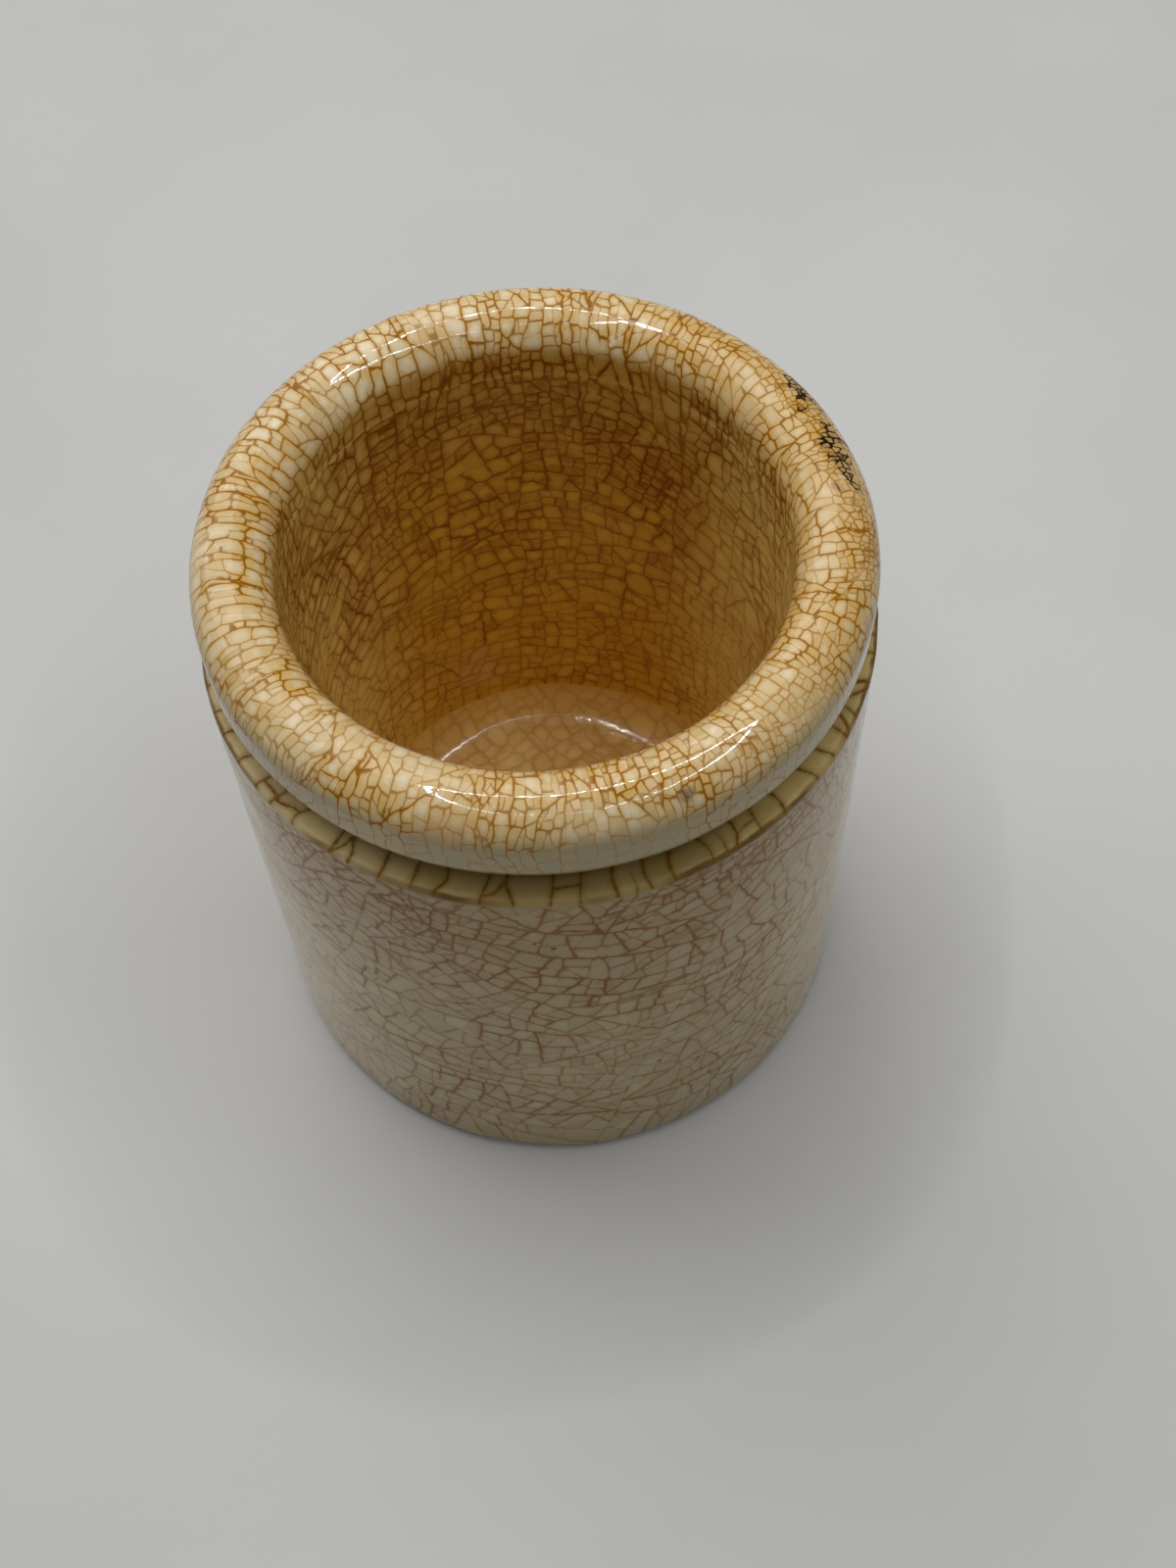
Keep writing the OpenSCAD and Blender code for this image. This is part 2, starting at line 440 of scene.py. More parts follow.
def cells_to_coat(name, net, keep, warp, scale, to_uv, seed, step=0.8, inset=0.28, spacing=lambda v: 1.6, pillow=0.03, tip=0.006, groove=0.012):
    """Lays the kept cells of a net out as a mesh: the cracks, a row of points along them and some in each cell."""
    rng = random.Random(seed)
    coat = Coat(name)
    kept = [c for c, ids in enumerate(net.cells) if keep(sum(net.P[i][1] for i in ids) / len(ids))]
    used, sides = [], {}
    for c in kept:
        ids = net.cells[c]
        for i, a in enumerate(ids):
            b = ids[(i + 1) % len(ids)]
            k = net.key(a, b)
            if k not in sides:
                sides[k] = 0
                used.append(k)
            sides[k] += 1
    top = {}
    for a, b in used:
        sa, sb = net.mark[(a, b)]
        top[a] = max(top.get(a, 0.0), sa)
        top[b] = max(top.get(b, 0.0), sb)
    ids_of = {}
    for a in sorted(top):
        u, v = net.P[a]
        ids_of[a] = coat.point(u, v, 0.0, 0.0, max(0.0, top[a]), 0.5)
    chain = {}
    for a, b in used:
        (ua, va), (ub, vb) = net.P[a], net.P[b]
        du, dv = net.delta(ub - ua), vb - va
        length = math.hypot(du * scale(0.5 * (va + vb)), dv)
        sa, sb = net.mark[(a, b)]
        n = max(1, round(length / step))
        ts = [k / n for k in range(1, n)]
        if sa <= 0 and sb <= 0 and length > 0.5:
            ts = sorted(set([0.1 / length, 1 - 0.1 / length] + [t for t in ts if 0.15 / length < t < 1 - 0.15 / length]))
        chain[(a, b)] = [coat.point(ua + du * t, va + dv * t, 0.0, 0.0, max(0.0, (sa + (sb - sa) * t) * (1 + 0.22 * rng.uniform(-1, 1))), 0.5) for t in ts]
    u, v = warp(np.array(coat.u), np.array(coat.v))
    coat.u, coat.v = u.tolist(), v.tolist()
    crack_points = len(coat.u)
    tone_sum, tone_n = [0.0] * crack_points, [0] * crack_points
    for c in kept:
        ids, loop = net.cells[c], []
        for i, a in enumerate(ids):
            b = ids[(i + 1) % len(ids)]
            loop.append(ids_of[a])
            loop += chain[(a, b)] if a < b else chain[(b, a)][::-1]
        n = len(loop)
        u0 = coat.u[loop[0]]
        q = [(u0 + net.delta(coat.u[i] - u0), coat.v[i]) for i in loop]
        k = scale(sum(y for _, y in q) / n)
        A = mx = my = 0.0
        for i in range(n):
            x0, y0 = q[i]
            x1, y1 = q[(i + 1) % n]
            w = (x0 - u0) * y1 - (x1 - u0) * y0
            A += w
            mx += (x0 + x1 - 2 * u0) * w
            my += (y0 + y1) * w
        A *= 0.5
        mx, my = u0 + mx / (6 * A), my / (6 * A)
        mx, my, away = middle(q, k, mx, my, A)
        tone = rng.random()
        lean = (rng.gauss(0, tip), rng.gauss(0, tip))
        X = [((x - u0) * k, y) for x, y in q]
        stain = [coat.stain[i] for i in loop]
        M = ((mx - u0) * k, my)
        more = []
        for i in range(n):
            deep = max(0.03, min(away[i - 1], away[i]))
            f = min(0.42, inset / deep)
            spot = (X[i][0] + f * (M[0] - X[i][0]), X[i][1] + f * (M[1] - X[i][1]))
            near_side = nearest(X, stain, spot)
            if inside(X, spot) and near_side[0] > 0.3 * f * deep and all(math.dist(spot, o) > 0.3 * inset for o, _ in more):
                more.append((spot, near_side))
        h = spacing(my)
        ring, lo_x, lo_y = len(more), min(x for x, _ in X), min(y for _, y in X)
        rows, cols = int((max(y for _, y in X) - lo_y) / (0.866 * h)) + 1, int((max(x for x, _ in X) - lo_x) / h) + 2
        for spot in [M] + [(lo_x + (c + 0.5 * (r % 2)) * h, lo_y + (r + 0.5) * 0.866 * h) for r in range(rows) for c in range(cols)]:
            if inside(X, spot):
                near_side = nearest(X, stain, spot)
                if near_side[0] > 1.2 * inset and all(math.dist(spot, o) > (0.45 if g < ring else 0.7) * h for g, (o, _) in enumerate(more)):
                    more.append((spot, near_side))
        flat = [Vector(c) for c in X] + [Vector(c) for c, _ in more]
        _, _, tris, from_points, _, _ = delaunay_2d_cdt(flat, [], [list(range(n))], 1, 1e-7)
        if any(len(o) != 1 for o in from_points):
            raise RuntimeError("a cell of %s crosses itself" % name)
        ids_here, spots = list(loop), dict(zip(loop, q))
        for (x, y), (d, st, nx, ny) in more:
            slope = pillow * max(0.0, 1 - d / (3 * inset))
            i = coat.point(u0 + x / k, y, 0.0, d, st, tone, (lean[0] + slope * nx, lean[1] + slope * ny))
            ids_here.append(i)
            spots[i] = (u0 + x / k, y)
        for i in loop:
            tone_sum[i] += tone
            tone_n[i] += 1
        for tri in tris:
            f = tuple(ids_here[from_points[i][0]] for i in tri)
            coat.faces.append(f)
            coat.uv += [to_uv(mx, spots[i]) for i in f]
    for i in range(crack_points):
        coat.tone[i] = tone_sum[i] / max(1, tone_n[i])
        coat.lift[i] = -groove * min(1.0, coat.stain[i])
    coat.front = len(coat.faces)
    coat.border = {}
    for a, b in used:
        if sides[(a, b)] == 1:
            for i in [ids_of[a]] + chain[(a, b)] + [ids_of[b]]:
                coat.border[i] = True
                coat.lift[i] = 0.0
    return coat


def zipper(low, high, period):
    """Triangles between two closed rows of (u, index), each sorted by u."""
    a0 = low[0][0]
    start = min(range(len(high)), key=lambda j: abs((high[j][0] - a0 + period / 2) % period - period / 2))
    high = high[start:] + high[:start]
    base = a0 + ((high[0][0] - a0 + period / 2) % period - period / 2)
    lu = [u for u, _ in low] + [low[0][0] + period]
    hu = [base + (u - high[0][0]) % period for u, _ in high] + [base + period]
    li, hi = [i for _, i in low] + [low[0][1]], [i for _, i in high] + [high[0][1]]
    out, i, j = [], 0, 0
    while i < len(low) or j < len(high):
        if j >= len(high) or (i < len(low) and lu[i + 1] <= hu[j + 1]):
            out.append((li[i], li[i + 1], hi[j]))
            i += 1
        else:
            out.append((li[i], hi[j + 1], hi[j]))
            j += 1
    return out


def build(coat, xyz, normals, back_points, back_faces, back_uv, material, extras):
    """Makes the object: front from the coat, plus the unseen back that closes it."""
    verts = np.concatenate([xyz, back_points]) if len(back_points) else xyz
    faces = coat.faces + back_faces
    mesh = bpy.data.meshes.new(coat.name)
    mesh.from_pydata((verts * MM).tolist(), [], faces)
    counts = [len(f) for f in faces]
    corner = np.fromiter((i for f in faces for i in f), int, sum(counts))
    front_corners = sum(counts[:coat.front])
    uv = mesh.uv_layers.new(name="OFBake")
    flat = np.array(coat.uv + back_uv, np.float32)
    uv.data.foreach_set("uv", flat.ravel())
    n = len(verts)
    for key, values, rest in [("dist", coat.dist, 1.0), ("stain", coat.stain, 0.0), ("tone", coat.tone, 0.5)] + extras:
        layer = mesh.attributes.new(key, "FLOAT", "POINT")
        vals = np.full(n, rest, np.float32)
        vals[:len(xyz)] = values
        layer.data.foreach_set("value", vals)
    mesh.polygons.foreach_set("use_smooth", np.ones(len(faces), bool))
    mesh.update()
    ends = np.zeros(len(mesh.edges) * 2, int)
    mesh.edges.foreach_get("vertices", ends)
    rim = np.zeros(n, bool)
    rim[list(coat.border)] = True
    mesh.edges.foreach_set("use_edge_sharp", rim[ends.reshape(-1, 2)].all(axis=1))
    own = np.zeros((len(corner), 3))
    own[:front_corners] = normals[corner[:front_corners]]
    flat_n = np.zeros(len(faces) * 3)
    mesh.polygons.foreach_get("normal", flat_n)
    per_face = np.repeat(flat_n.reshape(-1, 3), counts, axis=0)
    own[front_corners:] = per_face[front_corners:]
    mesh.normals_split_custom_set(own.tolist())
    mesh.materials.append(material)
    obj = bpy.data.objects.new(coat.name, mesh)
    bpy.context.scene.collection.objects.link(obj)
    return obj


def band_surface(outline, round_r, wobble=None):
    """Gives points, normals and the two directions on a turned surface, with a slight unevenness."""

    def place(u, v, lift):
        u, v = np.asarray(u, float), np.asarray(v, float)
        r, z, tr, tz = outline.at(v)
        a = u / round_r
        ca, sa = np.cos(a), np.sin(a)
        zero = np.zeros_like(a)
        tu = np.stack([-sa, ca, zero], -1)
        tv = np.stack([tr * ca, tr * sa, tz], -1)
        n = np.stack([tz * ca, tz * sa, -tr], -1)
        p = np.stack([r * ca, r * sa, z], -1)
        if wobble is not None:
            h, e = wobble(u, v), 0.05
            gu = (wobble(u + e, v) - h) / e * round_r / r
            gv = (wobble(u, v + e) - h) / e
            p = p + n * h[:, None]
            n = n - tu * gu[:, None] - tv * gv[:, None]
        p = p + n * np.asarray(lift, float)[:, None]
        return p, n, tu, tv

    return place


def tilted(n, tu, tv, tilt):
    t = np.array(tilt)
    n = n + tu * t[:, :1] + tv * t[:, 1:]
    return n / np.linalg.norm(n, axis=1, keepdims=True)


def strips(period, length, rows, gap=3.0, side=14.0):
    """Lays a band out in rows one above the other, with room beside them for the unseen back."""
    run = period / rows
    wide, tall = run + 2 * gap + side, rows * (length + 1.0)
    size = max(wide, tall) * 1.01

    def to_uv(mx, spot):
        row = min(rows - 1, int((mx % period) / run))
        x = spot[0] + (mx % period - mx) - row * run + gap
        return ((x + 0.3) / size, (spot[1] + row * (length + 1.0) + 0.4) / size)

    def back(x, y):
        return ((run + 2 * gap + 1.5 + x * (side - 3.0)) / size, (0.4 + y * (tall - 1.5)) / size)

    return to_uv, back


def close_band(coat, place, v_lo, v_hi, period, stations, columns, back):
    """The back of a band: edges at both borders and a plain surface one coat below the front."""
    pts, faces, uvs, base = [], [], [], len(coat.u)

    def below(us, v):
        us = np.asarray(us, float)
        p, n, _, _ = place(us, np.full(len(us), v), np.zeros(len(us)))
        return p - n / np.linalg.norm(n, axis=1, keepdims=True) * COAT

    def row(us, v):
        start = base + len(pts)
        pts.extend(below(us, v).tolist())
        return [(u, start + i) for i, u in enumerate(us)]

    mid = 0.5 * (v_lo + v_hi)
    rows, where = [], {}
    for v, side in ((v_lo, 0), (v_hi, 1)):
        loop = sorted((coat.u[i] % period, i) for i in coat.border if (coat.v[i] < mid) == (side == 0))
        under = row([u for u, _ in loop], v)
        m = len(loop)
        for k in range(m):
            j = (k + 1) % m
            f = (loop[j][1], loop[k][1], under[k][1], under[j][1])
            if side:
                f = f[::-1]
            faces.append(f)
            x0, x1 = k / m, (k + 1) / m
            y0, y1 = (0.0, 0.02) if side == 0 else (1.0, 0.98)
            corner = {loop[k][1]: (x0, y0), loop[j][1]: (x1, y0), under[k][1]: (x0, y1), under[j][1]: (x1, y1)}
            uvs.extend(back(*corner[i]) for i in f)
        rows.append((v, under))
    inner = [(v, row([period * k / columns for k in range(columns)], v)) for v in stations]
    rows = [rows[0]] + inner + [rows[1]]
    for (va, low), (vb, high) in zip(rows, rows[1:]):
        here = {}
        for u, i in low:
            here[i] = (u, va)
        for u, i in high:
            here[i] = (u, vb)
        for f in zipper(low, high, period):
            f = f[::-1]
            us = [here[i][0] / period for i in f]
            if max(us) - min(us) > 0.5:
                us = [x + 1 if x < 0.5 else x for x in us]
            faces.append(f)
            uvs.extend(back(0.02 + 0.96 * x * 0.98, 0.04 + 0.92 * (here[i][1] - v_lo) / (v_hi - v_lo)) for x, i in zip(us, f))
    return np.array(pts), faces, uvs


# ---------------------------------------------------------------------------
# Materials
# ---------------------------------------------------------------------------
class Nodes:
    def __init__(self, name):
        self.mat = bpy.data.materials.new(name)
        self.mat.use_nodes = True
        self.tree = self.mat.node_tree
        self.tree.nodes.clear()
        out = self.tree.nodes.new("ShaderNodeOutputMaterial")
        self.shader = self.tree.nodes.new("ShaderNodeBsdfPrincipled")
        self.tree.links.new(self.shader.outputs[0], out.inputs[0])
        self.where = self.tree.nodes.new("ShaderNodeTexCoord").outputs["Object"]

    def new(self, kind, **props):
        n = self.tree.nodes.new(kind)
        for k, v in props.items():
            setattr(n, k, v)
        return n

    def put(self, socket, value):
        if isinstance(value, bpy.types.NodeSocket):
            self.tree.links.new(value, socket)
        elif hasattr(socket.default_value, "__len__") and not isinstance(value, (int, float)):
            value = tuple(value)
            socket.default_value = value + (1.0,) if len(socket.default_value) == 4 and len(value) == 3 else value
        else:
            socket.default_value = value

    def attr(self, name):
        return self.new("ShaderNodeAttribute", attribute_name=name).outputs["Fac"]

    def math(self, op, a, b=0.0, clamp=False):
        n = self.new("ShaderNodeMath", operation=op, use_clamp=clamp)
        self.put(n.inputs[0], a)
        self.put(n.inputs[1], b)
        return n.outputs[0]

    def vec(self, op, a, b=None, scale=None):
        n = self.new("ShaderNodeVectorMath", operation=op)
        self.put(n.inputs[0], a)
        if b is not None:
            self.put(n.inputs[1], b)
        if scale is not None:
            self.put(n.inputs["Scale"], scale)
        return n.outputs["Value"] if op in ("LENGTH", "DISTANCE", "DOT_PRODUCT") else n.outputs["Vector"]

    def ramp(self, x, a, b, lo=0.0, hi=1.0):
        """lo below a, hi above b, smooth between; a may be the larger one."""
        n = self.new("ShaderNodeMapRange", interpolation_type="SMOOTHSTEP")
        self.put(n.inputs["Value"], x)
        if a > b:
            a, b, lo, hi = b, a, hi, lo
        for key, val in (("From Min", a), ("From Max", b), ("To Min", lo), ("To Max", hi)):
            self.put(n.inputs[key], val)
        return n.outputs[0]

    def mix(self, fac, a, b, kind="MIX"):
        n = self.new("ShaderNodeMix", data_type="RGBA", blend_type=kind)
        self.put(n.inputs[0], fac)
        self.put(n.inputs[6], a)
        self.put(n.inputs[7], b)
        return n.outputs[2]

    def noise(self, size_mm, detail=2.0, rough=0.5, seed=0.0, stretch=None):
        at = self.where
        if seed or stretch:
            m = self.new("ShaderNodeMapping")
            self.put(m.inputs["Vector"], at)
            self.put(m.inputs["Location"], (seed * 0.137, seed * 0.291, seed * 0.173))
            if stretch:
                self.put(m.inputs["Scale"], stretch)
            at = m.outputs[0]
        n = self.new("ShaderNodeTexNoise", noise_dimensions="3D")
        self.put(n.inputs["Vector"], at)
        self.put(n.inputs["Scale"], 1000.0 / size_mm)
        self.put(n.inputs["Detail"], detail)
        self.put(n.inputs["Roughness"], rough)
        return n.outputs[0]

    def spot(self, centre_mm, inner, outer, wander=0.0):
        """1 round a point of the object, falling to 0."""
        d = self.vec("DISTANCE", self.where, tuple(c * MM for c in centre_mm))
        if wander:
            d = self.math("ADD", d, self.math("MULTIPLY", self.math("SUBTRACT", self.noise(1.4, 3.0, 0.6, 7.0), 0.5), wander * MM))
        return self.ramp(d, outer * MM, inner * MM)

    def stroke(self, a_mm, b_mm, inner, outer):
        """1 along a straight stroke between two points of the object."""
        a = tuple(c * MM for c in a_mm)
        ab = tuple((q - p) * MM for p, q in zip(a_mm, b_mm))
        d = self.vec("SUBTRACT", self.where, a)
        t = self.math("MULTIPLY", self.vec("DOT_PRODUCT", d, ab), 1.0 / sum(c * c for c in ab), clamp=True)
        n = self.new("ShaderNodeVectorMath", operation="SCALE")
        n.inputs[0].default_value = ab
        self.put(n.inputs["Scale"], t)
        off = self.vec("LENGTH", self.vec("SUBTRACT", d, n.outputs["Vector"]))
        return self.ramp(off, outer * MM, inner * MM)


def glaze(name, pale, dark, crack, halo, blotch, core=(0.045, 0.15), core_max=0.9, halo_w=0.9, halo_max=0.35,
          blotch_size=14.0, blotch_at=(0.5, 0.72), blotch_max=0.5, rough=0.07, zone=None, soot=False, specks=0.06, extra=None, peel=0.06, shine=0.05, spec=0.5, thick=None):
    """Crazed glaze: cells of slightly different tone, stained cracks with a soft edge, blotches and pinholes.
    Colours and roughness may be given as functions that make a value changing over the piece."""
    t = Nodes(name)
    pale, dark, crack, halo, blotch = (c(t) if callable(c) else c for c in (pale, dark, crack, halo, blotch))
    dist, stain, tone = t.attr("dist"), t.attr("stain"), t.attr("tone")
    if thick:
        dist = t.math("DIVIDE", dist, thick(t))
    fine = t.noise(0.9, 3.0, 0.6, 1.0)
    cloud = t.noise(blotch_size, 3.0, 0.55, 2.0)
    base = t.mix(t.ramp(t.math("ADD", t.math("MULTIPLY", tone, 0.75), t.math("MULTIPLY", cloud, 0.5)), 0.2, 1.05), dark, pale)
    if zone:
        base = zone(t, base)
    base = t.mix(t.math("MULTIPLY", t.ramp(cloud, *blotch_at), blotch_max), base, blotch)
    base = t.mix(t.math("MULTIPLY", t.ramp(fine, 0.3, 0.75), 0.10), base, halo)
    wide = t.math("POWER", t.ramp(dist, halo_w, 0.0), 1.6)
    base = t.mix(t.math("MULTIPLY", t.math("MULTIPLY", wide, stain), halo_max(t) if callable(halo_max) else halo_max), base, halo)
    ragged = t.math("ADD", dist, t.math("MULTIPLY", t.math("SUBTRACT", t.noise(0.35, 2.0, 0.6, 3.0), 0.5), 0.06))
    swell = t.ramp(t.noise(1.5, 1.0, 0.5, 11.0), 0.3, 0.7, 0.68, 1.32)
    ragged = t.math("DIVIDE", ragged, t.math("MULTIPLY", swell, t.ramp(stain, 0.0, 0.95, 0.45, 1.08)))
    line = t.math("MULTIPLY", t.ramp(ragged, core[1], core[0]), t.math("MULTIPLY", stain, core_max), clamp=True)
    base = t.mix(line, base, crack)
    if soot:
        black = t.attr("soot")
        reach = t.math("SUBTRACT", ragged, t.math("MULTIPLY", t.ramp(black, 1.0, 2.0), 0.035))
        base = t.mix(t.math("MULTIPLY", t.math("MULTIPLY", black, 0.4, clamp=True), t.ramp(dist, 0.6, 0.1)), base, (0.17, 0.075, 0.022))
        base = t.mix(t.math("MULTIPLY", t.math("MULTIPLY", t.ramp(black, 0.25, 0.8), t.ramp(stain, 0.15, 0.6)), t.ramp(reach, 0.15, 0.06), clamp=True), base, (0.022, 0.011, 0.004))
    if extra:
        base = extra(t, base)
    if specks:
        v = t.new("ShaderNodeTexVoronoi", voronoi_dimensions="3D", feature="F1")
        t.put(v.inputs["Vector"], t.where)
        t.put(v.inputs["Scale"], 1000.0 / 4.2)
        pick = t.new("ShaderNodeSeparateColor")
        t.put(pick.inputs[0], v.outputs["Color"])
        dot = t.math("MULTIPLY", t.ramp(v.outputs["Distance"], 0.055, 0.03), t.ramp(pick.outputs[0], specks + 0.01, specks))
        base = t.mix(t.math("MULTIPLY", dot, 0.75), base, (0.05, 0.03, 0.015))
    t.put(t.shader.inputs["Base Color"], base)
    dull = t.math("ADD", t.math("MULTIPLY", t.noise(2.2, 3.0, 0.6, 4.0), shine), t.math("MULTIPLY", line, 0.12))
    t.put(t.shader.inputs["Roughness"], t.math("ADD", dull, t.math("SUBTRACT", rough(t), shine * 0.5) if callable(rough) else rough - shine * 0.5))
    t.shader.inputs["IOR"].default_value = 1.5
    grey = t.new("ShaderNodeRGBToBW")
    t.put(grey.inputs[0], base)
    t.put(t.shader.inputs["Specular IOR Level"], t.math("MULTIPLY", t.ramp(grey.outputs[0], 0.015, 0.11, 0.1 * spec, spec), t.ramp(line, 0.0, 1.0, 1.0, 0.35)))
    skin = t.new("ShaderNodeBump")
    t.put(skin.inputs["Strength"], peel)
    t.put(skin.inputs["Distance"], 0.0001)
    t.put(skin.inputs["Height"], t.noise(1.7, 2.0, 0.5, 5.0))
    t.put(t.shader.inputs["Normal"], skin.outputs[0])
    return t.mat


def clay_material():
    """Bare fired clay with fine grit."""
    t = Nodes("fired_clay")
    cloud, grit = t.noise(9.0, 4.0, 0.6, 1.0), t.noise(0.5, 3.0, 0.7, 2.0)
    base = t.mix(t.ramp(cloud, 0.3, 0.7), (0.43, 0.33, 0.20), (0.56, 0.46, 0.31))
    base = t.mix(t.math("MULTIPLY", t.ramp(grit, 0.55, 0.72), 0.55), base, (0.24, 0.16, 0.09))
    base = t.mix(t.math("MULTIPLY", t.ramp(grit, 0.42, 0.3), 0.4), base, (0.66, 0.58, 0.44))
    t.put(t.shader.inputs["Base Color"], base)
    t.put(t.shader.inputs["Roughness"], t.math("ADD", t.math("MULTIPLY", grit, 0.2), 0.62))
    b = t.new("ShaderNodeBump")
    t.put(b.inputs["Strength"], 0.35)
    t.put(b.inputs["Distance"], 0.0002)
    t.put(b.inputs["Height"], grit)
    t.put(t.shader.inputs["Normal"], b.outputs[0])
    return t.mat


# ---------------------------------------------------------------------------
# Outer wall
# ---------------------------------------------------------------------------
made = {}
ragged_edge = waves(61, 0.5, 0.06, 1.1, TAU, 40)


def hem(theta):
    """How brown the line between groove and wall is, round the pot: theta in radians."""
    at = np.degrees(np.asarray(theta, float))
    most = 0.2 + 0.65 * near(at, -25, 62) + 0.3 * near(at, -145, 45)
    return np.clip(most + ragged_edge(theta, 0.0 * at), 0, 1)


def outer_wall():
    period, S = TAU * BODY_R, OUTER.length
    lean_1, lean_2 = waves(31, 60, 24, 0.75, period), waves(32, 46, 20, 0.30, period)

    def target(u, v, whole):
        area, aspect = 5.3 * math.exp(float(lean_2(u, v))), 1.0
        area *= 0.42 + 0.58 * float(smooth(0, 14, S - v))
        foot = 1 - float(smooth(4, 9, v))
        area, aspect = area * (1 + 0.6 * foot), aspect * (1 - 0.6 * foot)
        # the long cracks run round the pot, the short ones join them
        aspect *= 1 + 2.6 * float(smooth(14, 260, whole)) * (1 - foot)
        grid = float(near(math.degrees(u / BODY_R), -48, 30)) * float(smooth(S - 34, S - 20, v))
        return area * (1 - 0.25 * grid), aspect, float(lean_1(u, v)) * (1 - 0.7 * grid) + 0.12 * grid, 0.9 - 0.8 * grid

    net = Crackle(71, period).band(S, 5, 26.0, strength=0.4)
    net.shatter(target, spread=0.30, faint=0.32, ends=0.28, level=(0.88, 0.2))
    patch = waves(33, 40, 12, 0.2, period)

    def share(u, v):
        # fainter away from the front
        side = (math.degrees(u / BODY_R) + 270) % 360 - 180
        side = side if side > 0 else -0.8 * side
        low = 1 - float(smooth(8, 34, v))
        high = float(smooth(S - 34, S - 8, v))
        return min(1.2, max(0.4, 0.94 + float(patch(u, v)) - 0.38 * float(smooth(24, 62, side)) - 0.08 * low + 0.26 * high))

    net.fade(share)
    net.relax(lambda u, v: 0.1, lambda u, v: v < 0.01 or v > S - 0.01)
    a, b = waves(1, 22, 11, 0.5, period), waves(2, 22, 11, 0.5, period)
    c, d = waves(3, 4, 1.8, 0.08, period), waves(4, 4, 1.8, 0.08, period)

    def warp(u, v):
        fade = smooth(0, 3, np.minimum(v, S - v))
        return (u + a(u, v) + c(u, v)) % period, v + (b(u, v) + d(u, v)) * fade

    to_uv, back = strips(period, S, 2)
    coat = cells_to_coat("outer_wall_glaze_crazed", net, lambda v: True, warp, lambda v: 1.0, to_uv, 5, spacing=lambda v: 0.6 if v < 4.5 else 1.6)
    place = band_surface(OUTER, BODY_R, waves(5, 22, 9, 0.05, period, 16))
    p, n, tu, tv = place(coat.u, coat.v, coat.lift)
    extra_v = S - np.array(coat.v)

    def zone(t, base):
        # painted light: the wall's left and right sides get a lighter colour than its front
        base = t.mix(t.math("MULTIPLY", t.attr("painted_light_sides"), 0.66), base, (0.71, 0.595, 0.335))
        up = t.math("ADD", t.attr("drop"), t.math("MULTIPLY", t.math("SUBTRACT", t.noise(2.6, 2.0, 0.5, 9.0), 0.5), 2.0))
        # painted shade: the wall's colour is darkened towards its top, under the groove and rim
        base = t.mix(t.ramp(t.attr("drop"), 34.0, 3.0), base, (0.84, 0.77, 0.69), "MULTIPLY")
        base = t.mix(t.ramp(up, 0.9, 0.1, 0.0, 0.6), base, (0.34, 0.23, 0.085))
        edge = t.math("ADD", t.attr("drop"), t.math("MULTIPLY", t.math("SUBTRACT", t.noise(1.9, 1.0, 0.5, 13.0), 0.5), 0.55))
        base = t.mix(t.math("MULTIPLY", t.attr("hem"), t.ramp(edge, 0.6, 0.2, 0.0, 0.9)), base, (0.13, 0.055, 0.009))
        low = t.math("SUBTRACT", t.attr("drop"), t.math("MULTIPLY", t.noise(6.0, 2.0, 0.5, 8.0), 4.0))
        return t.mix(t.ramp(low, S - 9.0, S - 3.5, 0.0, 0.45), base, (0.30, 0.21, 0.095))

    def extra(t, base):
        for at, r in (((-1.26, -38.68, 62.5), 0.30), ((-3.33, -38.56, 63.84), 0.24), ((15.81, -35.32, 20.61), 0.40), ((10.7, -37.19, 24.83), 0.36)):
            base = t.mix(t.math("MULTIPLY", t.spot(at, r * 0.5, r * 1.3, 0.5), 0.85), base, (0.05, 0.025, 0.012))
        base = t.mix(t.math("MULTIPLY", t.spot((12.98, -36.46, 58.58), 0.2, 2.2, 1.6), 0.6), base, (0.36, 0.19, 0.06))
        return base

    mat = glaze("outer_wall_glaze", pale=(0.50, 0.42, 0.238), dark=(0.42, 0.342, 0.172), crack=(0.23, 0.095, 0.012), halo=(0.39, 0.22, 0.055),
                blotch=(0.41, 0.28, 0.105), core=(0.06, 0.28), core_max=0.92, halo_w=1.0, halo_max=0.45, blotch_max=0.36, zone=zone, extra=extra, specks=0.04, spec=0.32)
    pts, faces, uvs = close_band(coat, place, 0.0, S, period, [2.0] + [S * k / 8 for k in range(1, 8)], 120, back)
    # the last value is the mask for the painted light on the wall's left and right sides
    made["outer_wall_glaze"] = build(coat, p, tilted(n, tu, tv, coat.tilt), pts, faces, uvs, mat,
                                    [("drop", extra_v, 30.0), ("hem", hem(np.array(coat.u) / BODY_R), 0.0),
                                     ("painted_light_sides", smooth(22, 60, np.abs((np.degrees(np.array(coat.u) / BODY_R) + 270) % 360 - 180)), 0.0)])


# ---------------------------------------------------------------------------
# Rim and inner wall: one net, so that cracks run on over the edge
# ---------------------------------------------------------------------------
SOOT_PATH = [(31.0, 12.6), (29.0, 12.7), (26.5, 12.9), (24.0, 13.1), (21.0, 13.2), (18.0, 13.4), (15.5, 13.6), (13.0, 13.7), (10.5, 13.6), (8.0, 13.7), (5.5, 13.8)]


